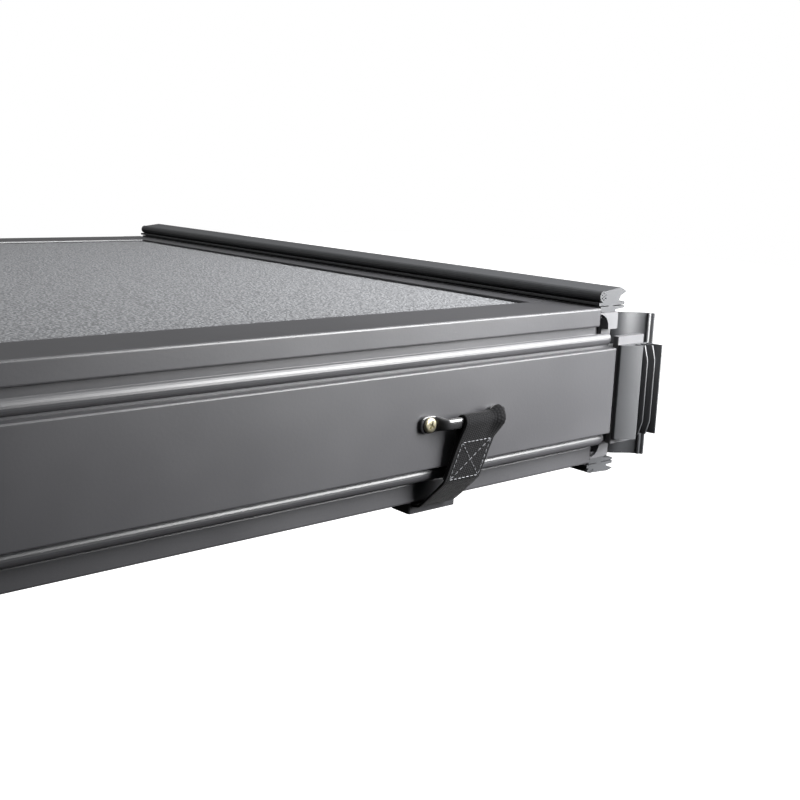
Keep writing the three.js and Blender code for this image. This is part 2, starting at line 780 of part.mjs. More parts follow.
// Storage strap: sewn round the bar, two layers to the end of the stitching, then one layer under the
// front panel to the buckle. Drawn in (y, z) and leaned sideways.
function strapWebbing(side) {
  const holeRadius = Math.hypot(barThickness, barHeight) / 2 + gap;
  const loopOuter = holeRadius + webbing;
  const sewnY = -3.1;
  const points = [
    ...arc(-loopProud, loopHeight, loopOuter, -25, 205, 12),
    [-loopProud - 1, loopHeight - 9.5, 2],
    [sewnY - webbing, sewnEnd, 0.6],
    [tailBendY - 2.6, tailTop - 0.2, 2.4],
    [tailBendY - 1, tailTop - webbing, 1],
    [tailBendY + 2.4, tailTop - webbing],
    [tailBendY + 2.4, tailTop],
    [tailBendY - 0.6, tailTop, 0.8],
    [sewnY + 0.6, sewnEnd - 1.4, 0.6],
    [sewnY + webbing, sewnEnd, 0.6],
    [-loopProud + 2.4, loopHeight - 9.5, 2],
  ];
  const hole = arc(-loopProud, loopHeight, holeRadius, 0, 330, 11);
  const centre = side * strapCentre;
  const name = `strap_webbing_${side < 0 ? "left" : "right"}`;
  const half = strapWidth / 2;
  const mesh = alongX(name, outline(points, [hole]), centre - half, centre + half, strapNylon);
  mesh.updateMatrix();
  mesh.geometry.applyMatrix4(mesh.matrix);
  mesh.position.set(0, 0, 0);
  mesh.rotation.set(0, 0, 0);
  const lean = side * strapLean;
  mesh.geometry.translate(0, 0, -loopHeight);
  mesh.geometry.applyMatrix4(new THREE.Matrix4().makeShear(0, 0, 0, 0, lean, 0));
  mesh.geometry.translate(0, 0, loopHeight);
  return mesh;
}

const buckleX = (side) => side * (strapCentre - strapLean * (loopHeight - tailTop));

// Male buckle half: a base that holds the webbing, two springy side arms and a middle guide
function bucklePlug(side) {
  const w = buckleWidth / 2;
  const half = [
    [w, 0, 1.5],
    [w, 14, 1],
    [w - 1.4, 15.5],
    [w - 1.4, 24],
    [w + 0.5, 26.5, 0.8],
    [w + 0.5, 30.5, 1],
    [w - 2.4, buckleLength, 1.6],
    [w - 4.8, 34, 0.8],
    [w - 4.8, 17.5, 1.2],
    [3.2, 15.5, 1],
    [3.2, buckleLength - 5, 1.5],
  ];
  const points = [...half, ...flipU(half, 0).reverse()];
  const placed = points.map(([u, v, radius]) => [buckleX(side) + u, tailBendY + 3 + v, radius]);
  const name = `buckle_plug_${side < 0 ? "left" : "right"}`;
  const z1 = -panelThickness - 0.9;
  return alongZ(name, outline(placed), z1 - buckleThickness, z1, bucklePlastic);
}

// Female buckle half, riveted under the front panel, with its mouth towards the plug
function buckleSocket(side) {
  const w = buckleWidth / 2 + buckleWall;
  const z1 = -flange - gap - boardThickness - gap;
  const z0 = z1 - socketThickness;
  const centre = buckleX(side);
  const body = rectangle(centre - w, z0, centre + w, z1, 3);
  const mouth = rectangle(centre - w + 3, z0 + 1.6, centre + w - 3, z1 - 1.9, 1);
  const y0 = tailBendY + 3 + buckleLength + socketGap;
  const name = `buckle_socket_${side < 0 ? "left" : "right"}`;
  return alongY(name, outline(body, [mouth]), y0, y0 + socketLength, bucklePlastic);
}

// Front clamps: the knob's stud screws into the cab end rail and lifts the jaw
function clampJaw(side) {
  const x = side * (edge - clampInset);
  const base = -panelThickness - throat - jawLip;
  const points = [
    [-20, 0, 1.5],
    [jawReach, 0, 3],
    [jawReach, jawLip, 1],
    [jawReach - 12, jawLip, 1],
    [jawReach - 14, jawThickness, 2],
    [-13, jawThickness, 2],
    [-14, jawHeel, 1],
    [-20, jawHeel, 1],
  ];
  const placed = points.map(([u, v, radius]) => [x + side * u, base + v, radius]);
  const name = `clamp_jaw_${side < 0 ? "left" : "right"}`;
  const jaw = alongY(name, outline(placed), clampY - jawWidth / 2, clampY + jawWidth / 2, clampAluminium);
  const hole = cylinderZ("hole", studRadius + 0.4, base - 1, base + jawThickness + 1);
  hole.position.x = x;
  hole.position.y = clampY;
  return cut(name, jaw, [hole], clampAluminium);
}

function clampKnob(side) {
  const x = side * (edge - clampInset);
  const top = -panelThickness - throat - jawLip - 2 * gap;
  const lobes = [];
  const steps = 60;
  for (let i = 0; i < steps; i++) {
    const angle = (2 * Math.PI * i) / steps;
    const radius = knobRadius * (0.94 + 0.06 * Math.cos(6 * angle));
    lobes.push([radius * Math.cos(angle), radius * Math.sin(angle)]);
  }
  const name = `clamp_knob_${side < 0 ? "left" : "right"}`;
  const head = new THREE.ExtrudeGeometry(outline(lobes), {
    depth: knobHeight - 2 * knobBevel,
    bevelThickness: knobBevel,
    bevelSize: knobBevel,
    bevelOffset: -knobBevel,
    bevelSegments: 1,
  });
  const grip = new THREE.Mesh(head, bucklePlastic);
  grip.position.z = top - knobHeight + knobBevel;
  const stud = cylinderZ("stud", studRadius, top - 1, studTop);
  const mesh = fromSolid(name, solid(grip).add(solid(stud)), bucklePlastic);
  mesh.position.set(x, clampY, 0);
  return mesh;
}

// Tailgate slam latch under the rear panel
function latchHousing() {
  const z1 = rearTop - panelThickness - gap;
  const z0 = z1 - latchDepth;
  const body = rectangle(-latchWidth / 2, z0, latchWidth / 2, z1, 2);
  const middle = (z0 + z1) / 2;
  const guide = rectangle(
    -boltWidth / 2 - gap,
    middle - boltThickness / 2 - gap,
    boltWidth / 2 + gap,
    middle + boltThickness / 2 + gap,
  );
  const y0 = rearY0 + latchSetback;
  return alongY("latch_housing", outline(body, [guide]), y0, y0 + latchLength, clampAluminium);
}

function latchBolt() {
  const z1 = rearTop - panelThickness - gap;
  const middle = z1 - latchDepth / 2;
  const low = middle - boltThickness / 2;
  const high = middle + boltThickness / 2;
  const nose = rearY0 + latchSetback - boltProud;
  const points = [
    [nose, high, 0.8],
    [nose, high - 2.2, 0.8],
    [nose + boltProud - 2.5, low, 1],
    [nose + boltProud + boltTongue, low, 0.5],
    [nose + boltProud + boltTongue, high, 0.5],
  ];
  return alongX("latch_bolt", outline(points), -boltWidth / 2, boltWidth / 2, zincSteel);
}

function hingePlateGroup() {
  const group = new THREE.Group();
  group.add(hingePlate(), ...screwPlaces().map(panScrew));
  [-1, 1].forEach((side) => {
    group.add(endBlock(side), plateEndSeal(side), cornerFlap(side), footmanLoop(side));
  });
  return group;
}

const cover = new THREE.Group();
cover.add(frontPanel(), hingePlateGroup(), middlePanel(), rearPanel());
[-1, 1].forEach((side) => {
  cover.add(strapWebbing(side), bucklePlug(side), buckleSocket(side), clampJaw(side), clampKnob(side));
});
cover.position.set(0, -originY, panelThickness);

export default cover;
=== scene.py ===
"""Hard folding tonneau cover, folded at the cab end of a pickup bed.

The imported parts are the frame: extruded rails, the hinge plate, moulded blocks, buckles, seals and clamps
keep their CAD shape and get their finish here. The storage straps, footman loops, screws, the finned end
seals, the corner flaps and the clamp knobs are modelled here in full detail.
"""

import logging
import math
from dataclasses import dataclass, field
from enum import Enum

import bmesh
import bpy
from mathutils import Matrix, Vector


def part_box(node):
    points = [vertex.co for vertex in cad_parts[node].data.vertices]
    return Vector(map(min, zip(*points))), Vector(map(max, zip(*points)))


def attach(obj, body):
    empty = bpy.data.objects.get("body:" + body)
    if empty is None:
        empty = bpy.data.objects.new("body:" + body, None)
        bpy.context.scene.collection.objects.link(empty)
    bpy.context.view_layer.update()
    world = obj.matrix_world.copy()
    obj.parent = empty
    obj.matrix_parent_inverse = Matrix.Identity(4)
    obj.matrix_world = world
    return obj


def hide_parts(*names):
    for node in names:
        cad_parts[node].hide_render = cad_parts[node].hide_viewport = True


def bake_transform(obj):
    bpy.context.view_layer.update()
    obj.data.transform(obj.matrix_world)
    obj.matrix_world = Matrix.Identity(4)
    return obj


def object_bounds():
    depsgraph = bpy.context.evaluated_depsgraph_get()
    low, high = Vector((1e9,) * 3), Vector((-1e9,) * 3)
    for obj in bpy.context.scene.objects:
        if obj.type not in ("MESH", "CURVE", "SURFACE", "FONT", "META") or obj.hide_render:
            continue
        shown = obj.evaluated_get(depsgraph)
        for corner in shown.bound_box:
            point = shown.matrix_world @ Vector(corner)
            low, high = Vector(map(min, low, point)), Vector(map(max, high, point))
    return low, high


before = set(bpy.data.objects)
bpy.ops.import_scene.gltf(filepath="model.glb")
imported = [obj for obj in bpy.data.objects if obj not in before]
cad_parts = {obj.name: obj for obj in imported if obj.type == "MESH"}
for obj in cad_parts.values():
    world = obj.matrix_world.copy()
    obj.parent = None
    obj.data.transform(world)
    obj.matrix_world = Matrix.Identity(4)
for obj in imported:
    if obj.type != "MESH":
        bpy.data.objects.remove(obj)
cad_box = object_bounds()

MM = 0.001
WELD = 1e-6  # vertices closer than this are one, in metres
log = logging.getLogger("tonneau_cover")


class Side(Enum):
    """The two ends of the cover, across the bed."""

    LEFT = -1
    RIGHT = 1

    @property
    def label(self) -> str:
        """The side's name in node names."""
        return self.name.lower()


def linear(colour: str) -> tuple[float, float, float, float]:
    """Turns an sRGB hex colour to linear.

    Args:
        colour: six hex digits, with or without a leading hash.

    Returns:
        Red, green, blue and an alpha of one.
    """
    digits = colour.lstrip("#")
    values = [int(digits[i : i + 2], 16) / 255 for i in (0, 2, 4)]
    lin = [v / 12.92 if v <= 0.04045 else ((v + 0.055) / 1.055) ** 2.4 for v in values]
    return (*lin, 1.0)


def add(
    tree: bpy.types.NodeTree, kind: str, inputs: dict | None = None, **settings
) -> bpy.types.Node:
    """Adds a node with its settings and links.

    Args:
        tree: the node tree.
        kind: the node's type.
        inputs: input name or index to a value, or to the output socket that feeds it.
        **settings: properties of the node itself.

    Returns:
        The new node.
    """
    node = tree.nodes.new(kind)
    for name, value in settings.items():
        setattr(node, name, value)
    for key, value in (inputs or {}).items():
        if isinstance(value, bpy.types.NodeSocket):
            tree.links.new(value, node.inputs[key])
        else:
            node.inputs[key].default_value = value
    return node


def noise(
    tree: bpy.types.NodeTree, place: bpy.types.NodeSocket, size_mm: float, detail: float, roughness: float
) -> bpy.types.Node:
    """Adds a noise texture.

    Args:
        tree: the node tree.
        place: the coordinates.
        size_mm: the size of its features.
        detail: how many finer layers it has.
        roughness: how strong those layers are.

    Returns:
        The texture node.
    """
    values = {"Vector": place, "Scale": 1 / (size_mm * MM), "Detail": detail, "Roughness": roughness}
    return add(tree, "ShaderNodeTexNoise", values)


def maths(tree: bpy.types.NodeTree, operation: str, *values) -> bpy.types.NodeSocket:
    """Adds a Math node on numbers or sockets, and gives its output."""
    return add(tree, "ShaderNodeMath", dict(enumerate(values)), operation=operation).outputs["Value"]


def bump_from(
    tree: bpy.types.NodeTree,
    shader: bpy.types.Node,
    height: bpy.types.NodeSocket,
    strength: float,
    depth_mm: float,
) -> None:
    """Bumps the shader's surface.

    Args:
        tree: the node tree.
        shader: the Principled node.
        height: what gives the height.
        strength: how much of the depth counts.
        depth_mm: the depth from the lowest to the highest place.
    """
    values = {"Height": height, "Strength": strength, "Distance": depth_mm * MM}
    bump = add(tree, "ShaderNodeBump", values)
    tree.links.new(bump.outputs["Normal"], shader.inputs["Normal"])


# Inputs of the Mix node when it mixes colours
MIX_FACTOR, MIX_A, MIX_B, MIX_RESULT = 0, 6, 7, 2


@dataclass(frozen=True)
class Finish:
    """What every finish has: its common name, and its body's colours and gloss."""

    name: str
    colour: str
    second_colour: str
    roughness: float
    ior: float = 1.5
    metallic: float = 0.0

    def start(
        self,
    ) -> tuple[bpy.types.Material, bpy.types.NodeTree, bpy.types.Node, bpy.types.NodeSocket]:
        """Makes the material with its plain values.

        Returns:
            The material, its tree, the Principled node and the Object coordinates.
        """
        material = bpy.data.materials.new(self.name)
        material.use_nodes = True
        tree = material.node_tree
        tree.nodes.clear()
        shader = add(
            tree,
            "ShaderNodeBsdfPrincipled",
            {"Base Color": linear(self.colour), "Roughness": self.roughness, "Metallic": self.metallic},
        )
        if not self.metallic:
            shader.inputs["IOR"].default_value = self.ior
        add(tree, "ShaderNodeOutputMaterial", {"Surface": shader.outputs["BSDF"]})
        place = add(tree, "ShaderNodeTexCoord").outputs["Object"]
        return material, tree, shader, place

    def tint(
        self, tree: bpy.types.NodeTree, shader: bpy.types.Node, factor: bpy.types.NodeSocket
    ) -> None:
        """Varies the colour between the finish's two colours."""
        mix = add(
            tree,
            "ShaderNodeMix",
            {MIX_FACTOR: factor, MIX_A: linear(self.colour), MIX_B: linear(self.second_colour)},
            data_type="RGBA",
        )
        tree.links.new(mix.outputs[MIX_RESULT], shader.inputs["Base Color"])

    def drift(
        self,
        tree: bpy.types.NodeTree,
        shader: bpy.types.Node,
        source: bpy.types.Node,
        less: float,
        more: float,
    ) -> None:
        """Varies the roughness, from a little under the finish's own to a little over it.

        Args:
            tree: the node tree.
            shader: the Principled node.
            source: the noise that drives it.
            less: how far under.
            more: how far over.
        """
        values = {
            "Value": source.outputs["Fac"],
            "From Min": 0.3,
            "From Max": 0.7,
            "To Min": self.roughness - less,
            "To Max": self.roughness + more,
        }
        gloss = add(tree, "ShaderNodeMapRange", values)
        tree.links.new(gloss.outputs["Result"], shader.inputs["Roughness"])


@dataclass(frozen=True)
class PowderCoat(Finish):
    """Satin powder coat baked on extruded or sheet aluminium.

    It has a fine orange peel that breaks up highlights, and a faint change of gloss from place to place.
    """

    peel_mm: float = 1.5
    peel_depth_mm: float = 0.03
    patch_mm: float = 90.0

    def material(self) -> bpy.types.Material:
        """Builds the material."""
        material, tree, shader, place = self.start()
        peel = noise(tree, place, self.peel_mm, 2.0, 0.45)
        patch = noise(tree, place, self.patch_mm, 3.0, 0.6)
        self.drift(tree, shader, patch, 0.03, 0.05)
        self.tint(tree, shader, patch.outputs["Fac"])
        bump_from(tree, shader, peel.outputs["Fac"], 1.0, self.peel_depth_mm)
        return material


@dataclass(frozen=True)
class PebbleCoat(Finish):
    """Pebble-embossed coated sheet, the panels' undersides.

    Low round bumps give a soft speckle that scatters the light; the valleys between them get a darker colour
    as painted shade.
    """

    pebble_mm: float = 1.8
    pebble_depth_mm: float = 0.22
    wander_mm: float = 6.0
    wander_reach_mm: float = 2.4

    def material(self) -> bpy.types.Material:
        """Builds the material."""
        material, tree, shader, place = self.start()
        wander = noise(tree, place, self.wander_mm, 2.0, 0.5)
        shifted = add(
            tree,
            "ShaderNodeVectorMath",
            {0: wander.outputs["Color"], 1: (self.wander_reach_mm * MM,) * 3, 2: place},
            operation="MULTIPLY_ADD",
        )
        cells = add(
            tree,
            "ShaderNodeTexVoronoi",
            {"Vector": shifted.outputs["Vector"], "Scale": 1 / (self.pebble_mm * MM), "Smoothness": 0.5},
            feature="SMOOTH_F1",
        )
        grain = noise(tree, place, self.pebble_mm * 0.55, 3.0, 0.6)
        dome = add(
            tree,
            "ShaderNodeMapRange",
            {
                "Value": cells.outputs["Distance"],
                "From Min": 0.15,
                "From Max": 0.75,
                "To Min": 1.0,
                "To Max": 0.0,
            },
            interpolation_type="SMOOTHSTEP",
        )
        height = maths(tree, "MULTIPLY_ADD", grain.outputs["Fac"], 0.9, dome.outputs["Result"])
        # painted shade: the lower the surface lies between the bumps, the darker its colour
        painted_valley_shade = add(
            tree,
            "ShaderNodeMapRange",
            {"Value": height, "From Min": 0.45, "From Max": 1.15, "To Min": 1.0, "To Max": 0.0},
        )
        self.tint(tree, shader, painted_valley_shade.outputs["Result"])
        bump_from(tree, shader, height, 1.0, self.pebble_depth_mm)
        return material


@dataclass(frozen=True)
class ExtrudedRubber(Finish):
    """EPDM rubber, extruded along the rail.

    It is dark and semi-matt, with a fine bumpy grain and a pale bloom in patches.
    """

    line_mm: float = 0.8
    bloom_mm: float = 35.0

    def material(self) -> bpy.types.Material:
        """Builds the material."""
        material, tree, shader, place = self.start()
        bloom = noise(tree, place, self.bloom_mm, 4.0, 0.65)
        grain = noise(tree, place, self.line_mm, 2.0, 0.5)
        self.tint(tree, shader, bloom.outputs["Fac"])
        bump_from(tree, shader, grain.outputs["Fac"], 0.6, 0.03)
        return material


@dataclass(frozen=True)
class MouldedPlastic(Finish):
    """Injection-moulded nylon or acetal with a fine spark-eroded grain.

    The grain softens the highlight, and the colour clouds slightly where the glass fill lies.
    """

    grain_mm: float = 0.7
    grain_depth_mm: float = 0.03
    cloud_mm: float = 14.0

    def material(self) -> bpy.types.Material:
        """Builds the material."""
        material, tree, shader, place = self.start()
        grain = noise(tree, place, self.grain_mm, 3.0, 0.55)
        cloud = noise(tree, place, self.cloud_mm, 3.0, 0.6)
        self.tint(tree, shader, cloud.outputs["Fac"])
        bump_from(tree, shader, grain.outputs["Fac"], 0.8, self.grain_depth_mm)
        return material


@dataclass(frozen=True)
class WovenNylon(Finish):
    """Nylon webbing in a plain weave, on a UV map in millimetres across and along the strap.

    Warp threads stand up in fine ribs that the weft ties down in turn, so the surface is rows of small
    dark beads, with a faint sheen where it bends. The colour is painted lighter on the bead crowns and
    darker in the hollows, as painted light and shade, with random fibre specks on top.
    """

    warp_mm: float = 1.5
    weft_mm: float = 1.1
    bead_mm: float = 0.35

    def material(self) -> bpy.types.Material:
        """Builds the material."""
        material, tree, shader, _ = self.start()
        weave = add(tree, "ShaderNodeUVMap", uv_map="weave")
        parts = add(tree, "ShaderNodeSeparateXYZ", {"Vector": weave.outputs["UV"]})
        warp = maths(tree, "DIVIDE", parts.outputs["X"], self.warp_mm)
        weft = maths(tree, "DIVIDE", parts.outputs["Y"], self.weft_mm)
        half = maths(tree, "MULTIPLY", maths(tree, "FLOOR", warp), 0.5)
        along = maths(tree, "PINGPONG", maths(tree, "ADD", weft, half), 0.5)
        rib = maths(tree, "ABSOLUTE", maths(tree, "SINE", maths(tree, "MULTIPLY", warp, math.pi)))
        bead = maths(tree, "MULTIPLY", rib, along)
        fibre = add(
            tree,
            "ShaderNodeTexNoise",
            {"Vector": weave.outputs["UV"], "Scale": 0.8, "Detail": 2.0, "Roughness": 0.7},
        )
        height = maths(tree, "MULTIPLY_ADD", fibre.outputs["Fac"], 0.6, bead)
        # painted light and shade: the bead crowns get the lighter colour and the hollows the darker, plus
        # random fibre specks
        painted_crown_light_and_fibre_tone = add(tree, "ShaderNodeMapRange", {"Value": height, "From Min": 0.35, "From Max": 0.85})
        self.tint(tree, shader, painted_crown_light_and_fibre_tone.outputs["Result"])
        bump_from(tree, shader, height, 1.0, self.bead_mm)
        shader.inputs["Specular IOR Level"].default_value = 0.12
        shader.inputs["Sheen Weight"].default_value = 0.04
        shader.inputs["Sheen Roughness"].default_value = 0.4
        return material


@dataclass(frozen=True)
class BareMetal(Finish):
    """Plated or cast metal: a tint that drifts over the surface, and small pits."""

    metallic: float = 1.0
    drift_mm: float = 4.0
    pit_mm: float = 0.8

    def material(self) -> bpy.types.Material:
        """Builds the material."""
        material, tree, shader, place = self.start()
        drift = noise(tree, place, self.drift_mm, 4.0, 0.6)
        pits = noise(tree, place, self.pit_mm, 3.0, 0.6)
        self.drift(tree, shader, pits, 0.06, 0.1)
        self.tint(tree, shader, drift.outputs["Fac"])
        bump_from(tree, shader, pits.outputs["Fac"], 0.5, 0.03)
        return material


@dataclass
class Paints:
    """Every finish on the cover, each built once."""

    frame_coat: bpy.types.Material = field(init=False)
    sheet_coat: bpy.types.Material = field(init=False)
    pebble: bpy.types.Material = field(init=False)
    foam: bpy.types.Material = field(init=False)
    rubber: bpy.types.Material = field(init=False)
    block: bpy.types.Material = field(init=False)
    webbing: bpy.types.Material = field(init=False)
    thread: bpy.types.Material = field(init=False)
    acetal: bpy.types.Material = field(init=False)
    loop_coat: bpy.types.Material = field(init=False)
    zinc: bpy.types.Material = field(init=False)
    cast: bpy.types.Material = field(init=False)

    def __post_init__(self) -> None:
        """Builds the materials."""
        self.frame_coat = PowderCoat(
            "powder_coated_extrusion", "#2b2b2d", "#323234", 0.4
        ).material()
        self.sheet_coat = PowderCoat(
            "powder_coated_sheet", "#2d2d2f", "#343436", 0.48, peel_mm=2.0
        ).material()
        # the pebble coat's second, darker colour is painted shade in the valleys between the bumps
        self.pebble = PebbleCoat("pebble_coated_sheet", "#646567", "#454648", 0.8).material()
        self.foam = MouldedPlastic("expanded_foam", "#d8d4c8", "#c9c4b6", 0.9, grain_mm=2.5).material()
        self.rubber = ExtrudedRubber("epdm_rubber", "#242527", "#2e2f31", 0.48, ior=1.52).material()
        self.block = MouldedPlastic("glass_filled_nylon", "#3c3c3e", "#464648", 0.5, 1.53).material()
        # the webbing's second, lighter colour is painted light on the bead crowns, and also random fibre
        # specks
        self.webbing = WovenNylon("woven_nylon", "#020203", "#0e0e10", 0.85, 1.53).material()
        self.thread = MouldedPlastic(
            "bonded_polyester_thread", "#4a4b4e", "#5c5d60", 0.6, 1.57, grain_mm=0.3
        ).material()
        self.acetal = MouldedPlastic("moulded_acetal", "#1d1d1f", "#242426", 0.38, 1.48).material()
        self.loop_coat = PowderCoat(
            "e_coated_steel", "#1b1b1c", "#222223", 0.26, peel_mm=2.5, peel_depth_mm=0.02
        ).material()
        self.zinc = BareMetal("yellow_zinc_plate", "#8f8b78", "#b3ac94", 0.34).material()
        self.cast = BareMetal(
            "tumbled_cast_aluminium", "#9fa1a3", "#b2b4b6", 0.42, drift_mm=12.0
        ).material()


def place_in_scene(name: str, data: bpy.types.ID) -> bpy.types.Object:
    """Makes an object from its data and links it to the scene."""
    thing = bpy.data.objects.new(name, data)
    bpy.context.scene.collection.objects.link(thing)
    return thing


def mesh_of(name: str, shape: bmesh.types.BMesh) -> bpy.types.Mesh:
    """Turns a bmesh into a mesh and frees it."""
    mesh = bpy.data.meshes.new(name)
    shape.to_mesh(mesh)
    shape.free()
    return mesh


def spun(profile: list[tuple[float, float]], axis: Vector, steps: int) -> bmesh.types.BMesh:
    """Spins a profile round an axis.

    Args:
        profile: radius and place along the axis, in millimetres, from axis to axis.
        axis: the Y or the Z direction; the radius runs along X.
        steps: faces round the axis.

    Returns:
        The closed mesh, with the axis through the origin.
    """
    shape = bmesh.new()
    verts = [shape.verts.new((Vector((radius, 0, 0)) + axis * along) * MM) for radius, along in profile]
    edges = [shape.edges.new(pair) for pair in zip(verts, verts[1:])]
    bmesh.ops.spin(
        shape, geom=verts + edges, cent=(0, 0, 0), axis=axis, angle=math.tau, steps=steps, use_merge=True
    )
    bmesh.ops.remove_doubles(shape, verts=shape.verts, dist=WELD)
    bmesh.ops.recalc_face_normals(shape, faces=shape.faces)
    return shape


def dress(piece: bpy.types.Object, material: bpy.types.Material) -> None:
    """Gives a piece its one material."""
    piece.data.materials.clear()
    piece.data.materials.append(material)


def make_piece(
    name: str,
    shape: bmesh.types.BMesh,
    material: bpy.types.Material,
    body: str,
    smooth: float = 40.0,
) -> bpy.types.Object:
    """Turns a finished bmesh into a piece that rides on a CAD body.

    Args:
        name: the piece's name.
        shape: the mesh, in the row frame, in metres; it is freed.
        material: the piece's finish.
        body: the CAD body that it moves with.
        smooth: edges sharper than this many degrees stay sharp.

    Returns:
        The new object.
    """
    mesh = mesh_of(name, shape)
    mesh.shade_smooth()
    mesh.set_sharp_from_angle(angle=math.radians(smooth))
    piece = place_in_scene(name, mesh)
    dress(piece, material)
    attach(piece, body)
    log.info("%s: %d faces", name, len(mesh.polygons))
    return piece


def bake_modifiers(piece: bpy.types.Object) -> None:
    """Applies a piece's modifiers to its mesh."""
    graph = bpy.context.evaluated_depsgraph_get()
    finished = bpy.data.meshes.new_from_object(piece.evaluated_get(graph), depsgraph=graph)
    piece.modifiers.clear()
    piece.data = finished


def prism(shape: bmesh.types.BMesh, outline: list[Vector], along: Vector) -> list[bmesh.types.BMVert]:
    """Extrudes a flat outline.

    Args:
        shape: the bmesh that gets the prism.
        outline: the corners, in order.
        along: the extrusion.

    Returns:
        The prism's corners.
    """
    start = [shape.verts.new(corner) for corner in outline]
    face = shape.faces.new(start)
    grown = bmesh.ops.extrude_face_region(shape, geom=[face])["geom"]
    moved = [item for item in grown if isinstance(item, bmesh.types.BMVert)]
    bmesh.ops.translate(shape, verts=moved, vec=along)
    return start + moved


def soften(shape: bmesh.types.BMesh, width: float, angle: float = 40.0, segments: int = 2) -> None:
    """Rounds every edge sharper than an angle.

    Args:
        shape: the mesh.
        width: the rounding's width, in metres.
        angle: in degrees.
        segments: faces across each rounding.
    """
    bmesh.ops.recalc_face_normals(shape, faces=shape.faces)
    sharp = [e for e in shape.edges if len(e.link_faces) == 2 and e.calc_face_angle(0) > math.radians(angle)]
    bmesh.ops.bevel(
        shape,
        geom=sharp,
        offset=width,
        segments=segments,
        profile=0.5,
        affect="EDGES",
        material=-1,
        clamp_overlap=True,
    )


@dataclass(frozen=True)
class PlateFrame:
    """Millimetres from the hinge plate: x across the bed, y from its outer face, z from its lower edge."""

    height: float = 51.0
    face_y: float = field(init=False)
    lower_z: float = field(init=False)
    end_x: float = field(init=False)

    def __post_init__(self) -> None:
        """Reads the plate's place from the frame."""
        low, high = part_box("hinge_plate")
        object.__setattr__(self, "face_y", low.y / MM)
        object.__setattr__(self, "lower_z", (low.z + high.z) / 2 / MM - self.height / 2)
        object.__setattr__(self, "end_x", high.x / MM)

    def point(self, x: float, y: float, z: float) -> Vector:
        """A place in the row frame, in metres."""
        return Vector((x, self.face_y + y, self.lower_z + z)) * MM


